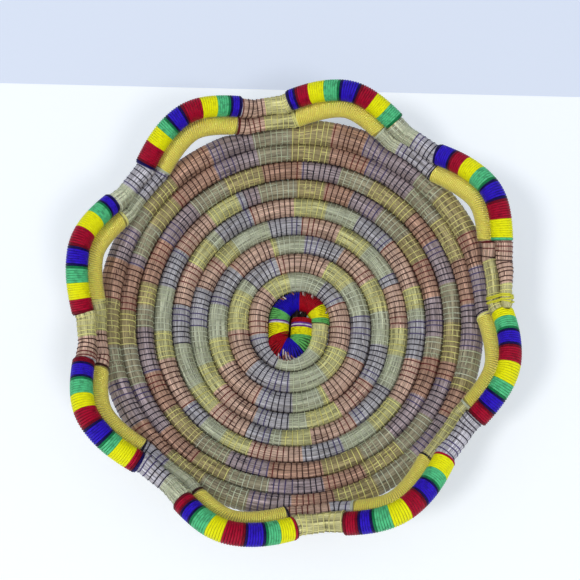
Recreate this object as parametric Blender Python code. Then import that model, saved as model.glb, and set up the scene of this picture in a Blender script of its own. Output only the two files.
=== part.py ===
# A coiled pine needle basket. One long bundle of needles spirals out from a whipped start into a flat base,
# a flared wall and a rim of two rows. The rim lifts into arches, each whipped with gold thread on its inner
# row and with banded thread on its outer row. Metres, +Z up; seen from above the coil runs clockwise from +X.

import math

import bmesh
import bpy
import numpy as np

# The bundle of needles
BASE_BUNDLE = 0.0136
RIM_BUNDLE = 0.0116
START_BUNDLE = 0.0104
FIRST_BUNDLE = 0.0088
TIP_BUNDLE = 0.0070
ROW_GAP = 0.0010
FLOOR_CUT_SHARE = 0.1

# The threads, and the gap between a whipping and the bundle in it
START_THREAD = 0.0008
GOLD_THREAD = 0.0007
BAND_THREAD = 0.0011
TIE_THREAD = 0.0012
FIT_GAP = 0.0003

# The start is a hairpin along Y: a bar beside the middle, a near and a far half circle, straight runs between
START_TURNS = 1.1
START_PITCH_SPARE = 0.0008
BAR_OFFSET = 0.0036
BAR_RUN = 0.0050
NEAR_STRAIGHT = 0.0094
FAR_STRAIGHT = 0.0030

# The spiral, in turns counted from the end of the start whipping
NATURAL_TURNS = 9
RIM_TURNS = 2
THINNING_STARTS = 2.5
THICKENING_STARTS = 0.37
THICKENING_ENDS = 0.6
KNOT_RISE = 0.0013
KNOT_RISE_ENDS = 0.25

# Round the hairpin the rows reach further to its near side (-Y) and far side (+Y), less at each later turn
REACH_TURNS = (0.25, 1.25, 3.25)
NEAR_REACHES = (0.0062, 0.0049, 0.0044)
FAR_REACHES = (0.0030, 0.0025, 0.0022)
REACH_TIGHTNESS = 3.0

# The bowl's slope, in degrees, at these turns
SLOPE_TURNS = (0.0, 3.0, 3.7, 7.0, 8.0, 9.0, 10.0)
SLOPES = (0.0, 0.0, 33.0, 34.0, 42.0, 62.0, 66.0)

# The arches, in clockwise degrees
ARCH_COUNT = 8
FIRST_ARCH = 11.9
ARCH_STEP = 44.8
ARCH_CORNER_LEAD = 1.8
ARCH_LIFT = 0.0118
ARCH_LEAN = 53.0
ARCH_CORNER = 0.2
ARCH_FOOT = 1.0
GOLD_HALF_SPAN = 12.4
BAND_HALF_SPAN = 15.5
LIFT_FADES_BY = 21.5

# The tapered end of the coil and its tie
END_BEFORE_ARCH = 1.5
TAPER_LENGTH = 9.0
TIE_BEFORE_END = 1.9
TIE_LOOP_COUNT = 3
TIE_PITCH = 0.0019
TIE_SLACK = 0.0001

# How finely the shapes are drawn
PROFILE_STEPS = 200
START_POINTS = 28
ROW_POINTS = 24
WHIPPED_POINTS = 7
BARE_RIM_POINTS = 2
TIE_POINTS = 14
BUNDLE_RESOLUTION = 1
SLEEVE_RESOLUTION = 4
BORE_OVERRUN = 0.002
WELD_DISTANCE = 0.00001
SHARP_ANGLE = 65.0

# A twelve-sided bore is nearer the bundle in the middle of a side than at a corner, by this share.
FACET_SHARE = math.cos(math.pi / (2 * SLEEVE_RESOLUTION + 4))

# How the least gap is looked for: samples per drawn point, and how many turns on another row begins
GAP_SAMPLES = 12
NEXT_ROW_FROM = 0.45

FULL_TURN = 360.0
START_RADIUS = START_BUNDLE / 2 + FIT_GAP + START_THREAD
GOLD_RADIUS = RIM_BUNDLE / 2 + FIT_GAP + GOLD_THREAD
BAND_RADIUS = RIM_BUNDLE / 2 + FIT_GAP + BAND_THREAD
START_PITCH = 2 * START_RADIUS + ROW_GAP + START_PITCH_SPARE
BASE_RADIUS = BAR_OFFSET + START_PITCH
BASE_HEIGHT = BASE_BUNDLE * (0.5 - FLOOR_CUT_SHARE)
FIRST_LIFTED_TURN = NATURAL_TURNS - (ARCH_STEP / 2 - FIRST_ARCH) / FULL_TURN
LAST_TURN = NATURAL_TURNS + RIM_TURNS + (FIRST_ARCH - BAND_HALF_SPAN - END_BEFORE_ARCH) / FULL_TURN

NEEDLE_COLOUR = (0.42, 0.33, 0.20, 1.0)
GOLD_COLOUR = (0.78, 0.62, 0.12, 1.0)
YELLOW_COLOUR = (0.86, 0.80, 0.01, 1.0)
BAND_COLOURS = (
    (0.38, 0.002, 0.02, 1.0),
    (0.86, 0.80, 0.01, 1.0),
    (0.02, 0.35, 0.09, 1.0),
    (0.03, 0.01, 0.58, 1.0),
)


def smooth_ramp(share):
    """0 to 1 as share goes from 0 to 1, level at both ends."""
    share = min(max(share, 0.0), 1.0)
    return share * share * (3 - 2 * share)


def natural_bundle(turn):
    """Thickness of the bare bundle, which thins from the base to the rim."""
    return np.interp(turn, (THINNING_STARTS, NATURAL_TURNS), (BASE_BUNDLE, RIM_BUNDLE))


def bowl_profile():
    """Turns, radii and heights of the rows, each one bundle and one gap on from the last, along the wall."""
    last = NATURAL_TURNS + RIM_TURNS
    turns = np.linspace(0, last, last * PROFILE_STEPS + 1)
    middles = (turns[1:] + turns[:-1]) / 2
    advance = (natural_bundle(middles) + ROW_GAP) / PROFILE_STEPS
    slope = np.radians(np.interp(middles, SLOPE_TURNS, SLOPES))
    radii = BASE_RADIUS + np.concatenate([[0], np.cumsum(advance * np.cos(slope))])
    heights = BASE_HEIGHT + np.concatenate([[0], np.cumsum(advance * np.sin(slope))])
    return turns, radii, heights


PROFILE = bowl_profile()


def arch_angle(arch):
    """Clockwise degrees of the middle of an arch's whippings."""
    return FIRST_ARCH + arch * ARCH_STEP


def from_nearest_arch(turn):
    """Degrees from the middle of the nearest arch."""
    degrees = FULL_TURN * (turn % 1.0)
    away = [(degrees - arch_angle(arch) + 180.0) % FULL_TURN - 180.0 for arch in range(ARCH_COUNT)]
    return min(away, key=abs)


def arch_shape(share):
    """Height of an arch, 1 at its round corner and 0 at its feet, where share is -1 or 1."""
    if abs(share) >= 1:
        return 0.0
    fall = math.hypot(share, ARCH_CORNER) - ARCH_CORNER
    return 1 - fall / (math.hypot(1, ARCH_CORNER) - ARCH_CORNER)


def rim_lift(turn):
    """How far a rim row stands off the row below at an arch, with room for the whippings on both."""
    if turn < FIRST_LIFTED_TURN:
        return 0.0
    inner_row = turn < FIRST_LIFTED_TURN + 1
    half_span = GOLD_HALF_SPAN if inner_row else BAND_HALF_SPAN
    gold_room = GOLD_RADIUS - RIM_BUNDLE / 2
    band_room = BAND_RADIUS - RIM_BUNDLE / 2
    room = gold_room if inner_row else 2 * gold_room + band_room
    away = from_nearest_arch(turn)
    fade = smooth_ramp((LIFT_FADES_BY - abs(away)) / (LIFT_FADES_BY - half_span))
    return ARCH_LIFT * arch_shape((away - ARCH_CORNER_LEAD) / (half_span + ARCH_FOOT)) + room * fade


def start_middle(turn):
    """The middle of the bundle at a turn before 0, in the hairpin."""
    height = BASE_HEIGHT + KNOT_RISE
    if turn < -1:
        return np.array((BAR_OFFSET, BAR_RUN * (-1 - turn) / (START_TURNS - 1), height))
    half = math.floor(2 * turn)
    side, straight = (1, FAR_STRAIGHT) if half % 2 else (-1, NEAR_STRAIGHT)
    radius = BASE_RADIUS + START_PITCH * (half + 0.5) / 2
    arc = math.pi * radius
    run = (2 * turn - half) * (arc + 2 * straight)
    bend = min(max(run - straight, 0.0), arc) / radius
    outward = min(run, straight) - max(run - straight - arc, 0.0)
    across = side * (START_PITCH / 4 - radius * math.cos(bend))
    return np.array((across, side * (outward + radius * math.sin(bend)), height))


def row_middle(turn):
    """The middle of the bundle at a turn."""
    if turn < 0:
        return start_middle(turn)
    radius = float(np.interp(turn, PROFILE[0], PROFILE[1]))
    height = float(np.interp(turn, PROFILE[0], PROFILE[2]))
    height += KNOT_RISE * smooth_ramp((KNOT_RISE_ENDS - turn) / KNOT_RISE_ENDS)
    lift = rim_lift(turn)
    radius += lift * math.cos(math.radians(ARCH_LEAN))
    height += lift * math.sin(math.radians(ARCH_LEAN))
    angle = -2 * math.pi * turn
    reach = float(np.interp(turn, REACH_TURNS, NEAR_REACHES if math.sin(angle) < 0 else FAR_REACHES))
    across = radius * math.cos(angle)
    along = radius * math.sin(angle) + reach * math.tanh(REACH_TIGHTNESS * math.sin(angle))
    return np.array((across, along, height))


def bundle_radius(turn):
    """Half the bundle's thickness: thin in the start whipping, full in the rows, tapered at the end."""
    full = float(natural_bundle(turn)) / 2
    first = float(np.interp(turn, (-1 / START_POINTS, 1 / ROW_POINTS), (START_BUNDLE / 2, FIRST_BUNDLE / 2)))
    growth = smooth_ramp((turn - THICKENING_STARTS) / (THICKENING_ENDS - THICKENING_STARTS))
    radius = first + (full - first) * growth
    taper = smooth_ramp((turn - LAST_TURN) * FULL_TURN / TAPER_LENGTH + 1)
    return radius + (TIP_BUNDLE / 2 - radius) * taper


def whipped_turns(row, arch, half_span):
    """The turns at which a whipping's line is drawn, from its first end to its last."""
    degrees = arch_angle(arch) + np.linspace(-half_span, half_span, WHIPPED_POINTS)
    return [row + step / FULL_TURN for step in degrees]


def rim_turns(row, half_span):
    """The turns at which a rim row is drawn: each whipping's own, and some on the bare bundle after it."""
    turns = []
    bare = ARCH_STEP - 2 * half_span
    for arch in range(ARCH_COUNT):
        turns += whipped_turns(row, arch, half_span)
        if arch < ARCH_COUNT - 1:
            steps = [bare * (i + 1) / (BARE_RIM_POINTS + 1) for i in range(BARE_RIM_POINTS)]
            turns += [turns[-1] + step / FULL_TURN for step in steps]
    return turns


def coil_turns():
    """The turns at which the whole bundle is drawn, from its start to its tapered end."""
    start = [-START_TURNS] + [i / START_POINTS for i in range(-START_POINTS, 0)]
    rows = [i / ROW_POINTS for i in range(NATURAL_TURNS * ROW_POINTS)]
    inner = rim_turns(NATURAL_TURNS, GOLD_HALF_SPAN)
    outer = rim_turns(NATURAL_TURNS + 1, BAND_HALF_SPAN)
    rows = [turn for turn in rows if turn < inner[0] - 1 / (2 * ROW_POINTS)]
    after_inner = list(np.linspace(inner[-1], outer[0], BARE_RIM_POINTS + 2)[1:-1])
    after_outer = list(np.linspace(outer[-1], LAST_TURN, 2 * BARE_RIM_POINTS + 2)[1:])
    return start + rows + inner + after_inner + outer + after_outer


def material_of(name, colour, roughness):
    material = bpy.data.materials.new(name)
    material.use_nodes = True
    shader = material.node_tree.nodes["Principled BSDF"]
    shader.inputs["Base Color"].default_value = colour
    shader.inputs["Roughness"].default_value = roughness
    shader.inputs["Metallic"].default_value = 0.0
    return material


def tube(name, points, radii, resolution):
    """A curve object: a round tube through the points, closed at both ends."""
    thickest = max(radii)
    curve = bpy.data.curves.new(name, "CURVE")
    curve.dimensions = "3D"
    curve.twist_mode = "Z_UP"
    curve.bevel_depth = thickest
    curve.bevel_resolution = resolution
    curve.use_fill_caps = True
    spline = curve.splines.new("POLY")
    spline.points.add(len(points) - 1)
    for place, point, radius in zip(spline.points, points, radii):
        place.co = (*point, 1.0)
        place.radius = radius / thickest
    return bpy.data.objects.new(name, curve)


def solid_tube(name, points, radii, resolution, collection):
    """The same tube as a closed mesh, which can be cut."""
    guide = tube(name + "_guide", points, radii, resolution)
    collection.objects.link(guide)
    bpy.context.view_layer.update()
    evaluated = guide.evaluated_get(bpy.context.evaluated_depsgraph_get())
    mesh = bpy.data.meshes.new_from_object(evaluated)
    mesh.name = name
    work = bmesh.new()
    work.from_mesh(mesh)
    bmesh.ops.remove_doubles(work, verts=work.verts, dist=WELD_DISTANCE)
    bmesh.ops.recalc_face_normals(work, faces=work.faces)
    work.to_mesh(mesh)
    work.free()
    mesh.shade_smooth()
    mesh.set_sharp_from_angle(angle=math.radians(SHARP_ANGLE))
    solid = bpy.data.objects.new(name, mesh)
    solid.matrix_world = guide.matrix_world
    curve = guide.data
    bpy.data.objects.remove(guide)
    bpy.data.curves.remove(curve)
    collection.objects.link(solid)
    return solid


def cut(solid, cutter):
    """Cuts the cutter's shape out of the solid and keeps the cutter out of sight."""
    cutter.hide_render = True
    cutter.display_type = "WIRE"
    modifier = solid.modifiers.new("cut_" + cutter.name, "BOOLEAN")
    modifier.operation = "DIFFERENCE"
    modifier.solver = "EXACT"
    modifier.object = cutter


def needle_coil(parts, cutters):
    """The foundation: one unbroken bundle, cut flat where the base rows stand."""
    turns = coil_turns()
    points = [row_middle(turn) for turn in turns]
    radii = [bundle_radius(turn) for turn in turns]
    coil = solid_tube("needle_coil", points, radii, BUNDLE_RESOLUTION, parts)
    coil.data.materials.append(material_of("needles", NEEDLE_COLOUR, 0.75))
    floor_side = 4 * PROFILE[1][-1]
    bpy.ops.mesh.primitive_cube_add(size=floor_side, location=(0, 0, -floor_side / 2))
    floor = bpy.context.active_object
    floor.name = "floor_cut"
    for collection in floor.users_collection:
        collection.objects.unlink(floor)
    cutters.objects.link(floor)
    cut(coil, floor)
    return coil


def sleeve(name, turns, inner, outer, material, parts, cutters):
    """Thread wound solid round a stretch of the bundle: a tube with a bore, a little clear of the needles."""
    points = [row_middle(turn) for turn in turns]
    body = solid_tube(name, points, [outer] * len(points), SLEEVE_RESOLUTION, parts)
    body.data.materials.append(material)
    first = points[0] - points[1]
    last = points[-1] - points[-2]
    points[0] = points[0] + first * BORE_OVERRUN / np.linalg.norm(first)
    points[-1] = points[-1] + last * BORE_OVERRUN / np.linalg.norm(last)
    bore = solid_tube(name + "_bore", points, [inner] * len(points), SLEEVE_RESOLUTION, cutters)
    cut(body, bore)
    return body


def start_whipping(parts, cutters):
    """Banded thread wound solid round the start of the coil."""
    turns = [turn for turn in coil_turns() if turn <= -1 / START_POINTS]
    material = material_of("start_thread", BAND_COLOURS[1], 0.45)
    inner = (START_BUNDLE / 2 + FIT_GAP) / FACET_SHARE
    return sleeve("start_whipping", turns, inner, START_RADIUS, material, parts, cutters)


def rim_whippings(name, row, half_span, radius, material, parts, cutters):
    """One sleeve of thread on each arch of a rim row."""
    inner = (RIM_BUNDLE / 2 + FIT_GAP) / FACET_SHARE
    made = []
    for arch in range(ARCH_COUNT):
        turns = whipped_turns(row, arch, half_span)
        made.append(sleeve(f"{name}_{arch + 1}", turns, inner, radius, material, parts, cutters))
    return made


def end_tie(parts):
    """A few loops of yellow thread round the coil's tapered end and the row below it."""
    turn = LAST_TURN - TIE_BEFORE_END / FULL_TURN
    half_width = TIE_LOOP_COUNT * TIE_PITCH / 2
    half_turns = half_width / (2 * math.pi * PROFILE[1][-1])
    along = row_middle(turn + half_turns) - row_middle(turn - half_turns)
    along /= np.linalg.norm(along)
    up = row_middle(turn) - row_middle(turn - 1)
    up -= along * np.dot(up, along)
    up /= np.linalg.norm(up)
    side = np.cross(along, up)
    points = []
    for i in range(TIE_LOOP_COUNT * TIE_POINTS + 1):
        angle = 2 * math.pi * i / TIE_POINTS
        here = turn + half_turns * (2 * i / (TIE_LOOP_COUNT * TIE_POINTS) - 1)
        round_tip = i % TIE_POINTS <= TIE_POINTS / 4 or i % TIE_POINTS >= 3 * TIE_POINTS / 4
        row = here if round_tip else here - 1
        reach = bundle_radius(row) + FIT_GAP + TIE_THREAD / 2 + TIE_SLACK
        points.append(row_middle(row) + reach * (math.cos(angle) * up + math.sin(angle) * side))
    tie = tube("end_tie", points, [TIE_THREAD / 2] * len(points), BUNDLE_RESOLUTION)
    tie.data.materials.append(material_of("end_thread", YELLOW_COLOUR, 0.45))
    parts.objects.link(tie)
    return tie


def least_gap(turns, radii):
    """Least gap of the bundle to its own other rows, on points between the ones it is drawn with."""
    samples = np.linspace(turns[0], turns[-1], GAP_SAMPLES * len(turns))
    lines = np.array([row_middle(turn) for turn in turns])
    places = np.stack([np.interp(samples, turns, lines[:, axis]) for axis in range(3)], axis=1)
    half = np.interp(samples, turns, radii)
    least = math.inf
    for i, turn in enumerate(samples):
        others = np.abs(samples - turn) > NEXT_ROW_FROM
        gaps = np.linalg.norm(places[others] - places[i], axis=1) - half[others] - half[i]
        least = min(least, float(gaps.min()))
    return least


def new_collection(name):
    collection = bpy.data.collections.new(name)
    bpy.context.scene.collection.children.link(collection)
    return collection


def stand_on_origin(pieces, cutters):
    """Hangs all pieces on one empty, placed so that the basket's bounding box stands on the origin."""
    bpy.context.view_layer.update()
    graph = bpy.context.evaluated_depsgraph_get()
    corners = []
    for piece in pieces:
        evaluated = piece.evaluated_get(graph)
        mesh = evaluated.to_mesh()
        places = np.empty(len(mesh.vertices) * 3)
        mesh.vertices.foreach_get("co", places)
        corners.append(places.reshape(-1, 3))
        evaluated.to_mesh_clear()
    corners = np.concatenate(corners)
    low = corners.min(axis=0)
    high = corners.max(axis=0)
    basket = bpy.data.objects.new("basket", None)
    basket.location = (-(low[0] + high[0]) / 2, -(low[1] + high[1]) / 2, -low[2])
    bpy.context.scene.collection.objects.link(basket)
    for piece in list(pieces) + list(cutters.objects):
        piece.parent = basket
    print("axis offset", [round(value, 6) for value in basket.location])
    print("size", [round(1000 * value, 1) for value in high - low])


def build():
    for thing in list(bpy.data.objects):
        bpy.data.objects.remove(thing)
    parts = new_collection("pine_needle_basket")
    cutters = new_collection("cutters")
    pieces = [needle_coil(parts, cutters), start_whipping(parts, cutters)]
    gold = material_of("gold_thread", GOLD_COLOUR, 0.4)
    pieces += rim_whippings("gold_whipping", NATURAL_TURNS, GOLD_HALF_SPAN, GOLD_RADIUS, gold, parts, cutters)
    banded = material_of("banded_thread", BAND_COLOURS[0], 0.4)
    row = NATURAL_TURNS + 1
    pieces += rim_whippings("band_whipping", row, BAND_HALF_SPAN, BAND_RADIUS, banded, parts, cutters)
    pieces.append(end_tie(parts))
    stand_on_origin(pieces, cutters)
    turns = coil_turns()
    gap = least_gap(turns, [bundle_radius(turn) for turn in turns])
    print(f"needle_coil: least gap to itself {1000 * gap:.2f} mm")


build()
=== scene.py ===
import math
import random

import bmesh
import bpy
import numpy as np
from mathutils import Matrix, Vector


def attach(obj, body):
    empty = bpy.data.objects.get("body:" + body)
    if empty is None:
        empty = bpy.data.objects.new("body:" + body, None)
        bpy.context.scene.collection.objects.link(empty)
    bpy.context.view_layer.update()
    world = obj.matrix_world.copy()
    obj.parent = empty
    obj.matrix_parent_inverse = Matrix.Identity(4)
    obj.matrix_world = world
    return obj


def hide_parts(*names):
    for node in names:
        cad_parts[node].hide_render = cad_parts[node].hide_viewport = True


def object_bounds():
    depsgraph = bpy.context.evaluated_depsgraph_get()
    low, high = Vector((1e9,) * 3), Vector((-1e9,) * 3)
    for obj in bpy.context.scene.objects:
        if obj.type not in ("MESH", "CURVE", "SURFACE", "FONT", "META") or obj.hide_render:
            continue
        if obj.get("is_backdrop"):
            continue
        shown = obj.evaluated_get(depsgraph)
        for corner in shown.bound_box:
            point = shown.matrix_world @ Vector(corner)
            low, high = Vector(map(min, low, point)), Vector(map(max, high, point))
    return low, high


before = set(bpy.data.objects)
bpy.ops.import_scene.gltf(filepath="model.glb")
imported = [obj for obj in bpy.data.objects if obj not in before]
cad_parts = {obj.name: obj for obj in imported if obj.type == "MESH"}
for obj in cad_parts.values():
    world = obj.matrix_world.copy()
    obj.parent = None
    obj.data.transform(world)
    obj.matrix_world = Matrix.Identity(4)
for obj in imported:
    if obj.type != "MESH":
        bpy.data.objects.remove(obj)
CAD_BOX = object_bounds()

# Sizes of the basket, in metres, degrees and turns, as in the part's source.
BASE_BUNDLE = 0.0136
RIM_BUNDLE = 0.0116
START_BUNDLE = 0.0104
FIRST_BUNDLE = 0.0088
TIP_BUNDLE = 0.0070
ROW_GAP = 0.0010
FLOOR_CUT_SHARE = 0.1
START_THREAD = 0.0008
GOLD_THREAD = 0.0007
BAND_THREAD = 0.0011
TIE_THREAD = 0.0012
FIT_GAP = 0.0003
FULL_TURN = 360.0
START_TURNS = 1.1
START_PITCH_SPARE = 0.0008
BAR_OFFSET = 0.0036
BAR_RUN = 0.0050
NEAR_STRAIGHT = 0.0094
FAR_STRAIGHT = 0.0030
NATURAL_TURNS = 9
RIM_TURNS = 2
THINNING_STARTS = 2.5
THICKENING_STARTS = 0.37
THICKENING_ENDS = 0.6
KNOT_RISE = 0.0013
KNOT_RISE_ENDS = 0.25
REACH_TURNS = (0.25, 1.25, 3.25)
NEAR_REACHES = (0.0062, 0.0049, 0.0044)
FAR_REACHES = (0.0030, 0.0025, 0.0022)
REACH_TIGHTNESS = 3.0
SLOPE_TURNS = (0, 3, 3.7, 7, 8, 9, 10)
SLOPES = (0, 0, 33, 34, 42, 62, 66)
ARCH_COUNT = 8
FIRST_ARCH = 11.9
ARCH_STEP = 44.8
ARCH_CORNER_LEAD = 1.8
ARCH_LEAN = 53
GOLD_HALF_SPAN = 12.4
BAND_HALF_SPAN = 15.5
END_BEFORE_ARCH = 1.5
TAPER_LENGTH = 9
TIE_BEFORE_END = 1.9
PROFILE_STEPS = 200
START_POINTS = 28
ROW_POINTS = 24

START_RADIUS = START_BUNDLE / 2 + FIT_GAP + START_THREAD
START_PITCH = 2 * START_RADIUS + ROW_GAP + START_PITCH_SPARE
BASE_RADIUS = BAR_OFFSET + START_PITCH
BASE_HEIGHT = BASE_BUNDLE * (0.5 - FLOOR_CUT_SHARE)
FIRST_LIFTED_TURN = NATURAL_TURNS - (ARCH_STEP / 2 - FIRST_ARCH) / FULL_TURN
LAST_TURN = NATURAL_TURNS + RIM_TURNS + (FIRST_ARCH - BAND_HALF_SPAN - END_BEFORE_ARCH) / FULL_TURN

# The spiral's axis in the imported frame, whose origin is under the middle of the box.
AXIS = np.array((0.001453, -0.000358, 0.0))

# From here on the sizes are looks, in metres, degrees and turns again.
# The rim's unevenness: degrees that each arch's corner is off, and how far each rim row stands out, at the
# valley before each arch and at the arch.
CORNER_SHIFTS = (-0.6, 1.4, 0.1, 0.5, -1.2, -0.3, -0.4, 1.1)
OUTER_SWAY = (-8, -6, -7, -3, 7, 10, -1, 10, -7, -15, -4, 3, 18, 8, 9, 0)
INNER_SWAY = (-5, -1, -14, 0, -1, 9, -8, 5, -5, -14, -3, -1, 8, 13, 11, 0)
SWAY_UNIT = 0.0001
INNER_SWAY_STARTS = NATURAL_TURNS - 0.06
OUTER_SWAY_STARTS = NATURAL_TURNS + 0.93
SWAY_GROWTH = 0.05

# The arches as they look: height, how far their feet reach past the whippings, and how round the corner is.
SHOWN_LIFT = 0.01125
SHOWN_FOOT = 2.73
SHOWN_CORNER = 0.23
LIFT_FULL_INSIDE = 11.3
LIFT_GONE_OUTSIDE = 7.0
LIFT_ENDS = NATURAL_TURNS + RIM_TURNS - 0.012
LIFT_FADE = 0.035

# How far the last natural row bulges into the hole under each arch, and over how many degrees.
HOLE_BULGES = (0.0018, 0.0008, 0.0012, 0.0016, 0.0021, 0.0022, 0.0046, 0.0027)
BULGE_FULL = 7.0
BULGE_GONE = 14.0

# Turns in degrees where each arch's whippings start and end, from the first arch on.
GOLD_SPANS = ((-0.3, 24.8), (44.9, 69.7), (89.3, 114.1), (135.2, 160.2),
              (179.5, 203.9), (223.8, 249.5), (268.2, 292.9), (313.5, 338.7))
BAND_SPANS = ((-1.0, 28.1), (41.6, 73.6), (86.4, 116.4), (131.3, 162.4),
              (174.8, 206.1), (219.9, 252.0), (265.7, 296.2), (310.8, 341.2))
WHIPPINGS = ((NATURAL_TURNS, GOLD_SPANS), (NATURAL_TURNS + 1, BAND_SPANS))

# How much fuller the bundle looks than its solid, by turn, and how far its middle stands out there.
SWELL_TURNS = (0.0, 0.10, 0.20, 0.30, 0.45, 0.62, 1.60, 2.10,
               8.95, 9.05, 9.93, 9.99, 10.925, 10.945, 10.975, 10.985)
SWELLS = (0.0019, 0.0022, 0.0014, 0.0014, 0.0018, 0.0010, 0.0009, 0.00055,
          0.00055, 0.0003, 0.0003, 0.0001, 0.0001, -0.0010, -0.0002, 0.0003)
SHIFT_TURNS = (9.915, 9.945, 9.97, 9.99, 10.925, 10.945, 10.97, 10.985)
SHIFTS = (0.0, 0.0026, 0.0018, -0.0005, -0.0005, 0.0020, 0.0016, -0.0004)

# The same beside the ends of each whipping, in the inner and the outer rim row.
END_GAP_DEGREES = 5.0
END_SWELLS = (0.0004, 0.0008)
END_SWELLS_START = NATURAL_TURNS - 0.5
END_SHIFTS = (0.0003, -0.0008)
END_SHIFTS_START = NATURAL_TURNS - 0.01
OUTER_ROW_STARTS = NATURAL_TURNS + 0.99

# The needle bundle: points round it, length of a ring, the dent at each stitch, its ridges and its thin end.
BUNDLE_SIDES = 44
RING_SPACING = 0.0010
CINCH = 0.00034
CINCH_PLACE = 0.24
NEEDLE_RIDGES = 0.00014
RIDGE_COUNTS = (17, 5)
RIDGE_DRIFTS = (9.0, 23.0)
RIDGE_SWING = 3.0
TIP_BEYOND = 3.9
TIP_SHAPE = (0.99, 0.97, 0.94, 0.90, 0.84, 0.72, 0.50)
NEW_NEEDLES_FROM = (5.68, 9.0)
PATH_SAMPLES_PER_TURN = 3000
# The way round in the layout, which places the painted groove shade: 0 at the row before, half at the row
# after, and less where no row follows.
LAYOUT_ROUND = 0.98
FREE_LAYOUT_SHARE = 0.8
FREE_LAYOUT_START = 0.004
FREE_BULGE = 0.0002

# The start: its bar stands off, its lower bend is fuller, and its rounds lean outside the hairpin, by turn.
START_ENDS = -0.012
START_MARGIN = 0.002
BAR_ENDS = (-0.90, -0.80)
BAR_STANDS_OFF = 0.0022
BAR_SWELL = 0.0017
HAIRPIN_SWELL = 0.0010
START_TIP_GROWTH = 0.03
BEND_BULGE = 0.0036
BEND_MIDDLE = -0.745
BEND_REACH = 0.13
START_LEANS = ((-1.1, -0.66, -0.60, -0.55, -0.50, -0.1, -0.04), (0.0, 0.0, -0.0034, -0.0016, 0.0, 0.0, 0.0))

# The stitching thread: its thickness, points round it and round a stitch, the share of a stitch that its top
# takes, how much of the slant comes early, and how far a stitch may wander.
STITCH_THREADS = {"r": 0.00074, "y": 0.00064, "g": 0.00064, "b": 0.00076}
STITCH_SINK = 0.00006
STITCH_SIDES = 6
STITCH_POINTS = 26
TOP_SHARE = 0.30
EARLY_SLANT = 0.75
STITCH_WANDER = 0.16
THREAD_TIP = 0.05
FLOOR_CLEARANCE = 0.00005
BRIGHT_SHARE = {"r": 0.3, "y": 0.45, "g": 0.4, "b": 0.26}

# Thread carried lengthwise: its places round the top, how often each colour has it, and its lengths, gaps and
# margins in stitches.
CARRIED_THREAD = 0.00050
CARRIED_SIDES = 5
CARRIED_POINTS = 8
CARRIED_SINK = 0.00014
CARRIED_PLACES = (-0.75, -0.3, 0.1, 0.5, 0.8)
CARRIED_SHARE = {"r": 0.10, "y": 0.42, "g": 0.40, "b": 0.14}
CARRIED_FIRST_GAP = 2
CARRIED_LENGTHS = (0.8, 3.0)
CARRIED_GAPS = (0.2, 1.2)
CARRIED_END_MARGIN = 0.2
CARRIED_LEAST = 0.6
CARRIED_SLANT = 0.12
CARRIED_WANDER = 0.1

# Colour of the thread that binds each gold whipping's start and end, and its turns.
GOLD_ENDS = ("YG", "bG", "br", "br", "YY", "gR", "YG", "bR")
LOOP_THREAD = 0.0008
LOOP_PITCH = 0.0008
LOOP_ROUNDS = 1.7
LOOP_POINTS = 45
LOOP_GAP = 0.0003
LOOP_RISE = 0.0002

# The windings: points round the bundle and round the thread, distances between rounds, how full the gold ones
# are, and how far these run ahead on the outside.
WINDING_POINTS = 26
WINDING_SIDES = 8
SLEEVE_SIDES = 40
GOLD_PITCH = 0.00135
BAND_PITCH = 0.00150
START_WINDING_PITCH = 0.00112
GOLD_CROWDING = 0.94
GOLD_LEAN = ((0.0,), (0.0010,))
NO_LEAN = ((0.0,), (0.0,))

# Slivers of needle between the start's threads: turn, degrees round the bundle from outward up, length.
SLIVERS = (
    (-0.352, 38, 0.0075), (-0.34, 46, 0.006), (-0.29, 40, 0.005), (-0.238, 38, 0.007), (-0.228, 50, 0.005),
    (-0.19, 36, 0.006), (-0.181, 44, 0.006), (-0.716, 35, 0.005), (-0.724, 28, 0.005), (-0.73, 66, 0.0044),
    (-0.736, 38, 0.005), (-0.744, 60, 0.004), (-0.75, 28, 0.0044), (-0.757, 50, 0.0036), (-0.763, 24, 0.0036),
    (-0.733, 18, 0.003), (-0.741, 50, 0.0028), (-0.748, 42, 0.003), (-0.754, 64, 0.0024),
    (-0.761, 38, 0.0026), (-0.77, 46, 0.0024), (-0.777, 30, 0.0024), (-0.09, 30, 0.0024), (-0.075, 40, 0.002),
)
SLIVER_WIDTH = 0.0015
SLIVER_SLANT = 0.5
SLIVER_RISE = 0.62
SLIVER_BEND = 0.0075
SLIVER_POINTS = 7
SLIVER_LAYOUT = (0.02, 0.2)

# The needles' cut ends at the start: fanned out from its tip, and lying in the slot beside the bar, dark
# partly as painted shade.
NEEDLE_END_COUNT = 46
NEEDLE_END_SIDES = 6
NEEDLE_END_RADII = (0.0006, 0.0006, 0.00055, 0.0003)
NEEDLE_END_SPREAD = 0.0048
NEEDLE_END_ROOT = 0.002
NEEDLE_END_LEAN = 0.5
NEEDLE_END_RISE = (-0.55, 0.12)
NEEDLE_END_LENGTHS = (0.0055, 0.0105)
NEEDLE_END_LAYOUT = (0.01, 0.013)
SLOT_NEEDLES = 8
SLOT_NEEDLE_RADIUS = 0.0011
SLOT_SPREAD = 0.0012
SLOT_HEIGHTS = (0.0022, 0.0042)
SLOT_ENDS = (-0.010, 0.0105)
SLOT_LAYOUT = (0.02, 0.017)

# The end tie: degrees past its place, how far its loops lean, and where each starts and ends along the coil.
TIE_LATER = 2.4
TIE_SKEW = 0.0013
TIE_LOOPS = ((-0.0012, -0.0004), (-0.0001, 0.0007), (0.0036, 0.0012), (0.0016, 0.0044))
TIE_CLOSENESS = 0.4
TIE_THINNING = 0.42
TIE_ROUND_STEPS = 73
TIE_POINTS = 97
TIE_SIDES = 10

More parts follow.
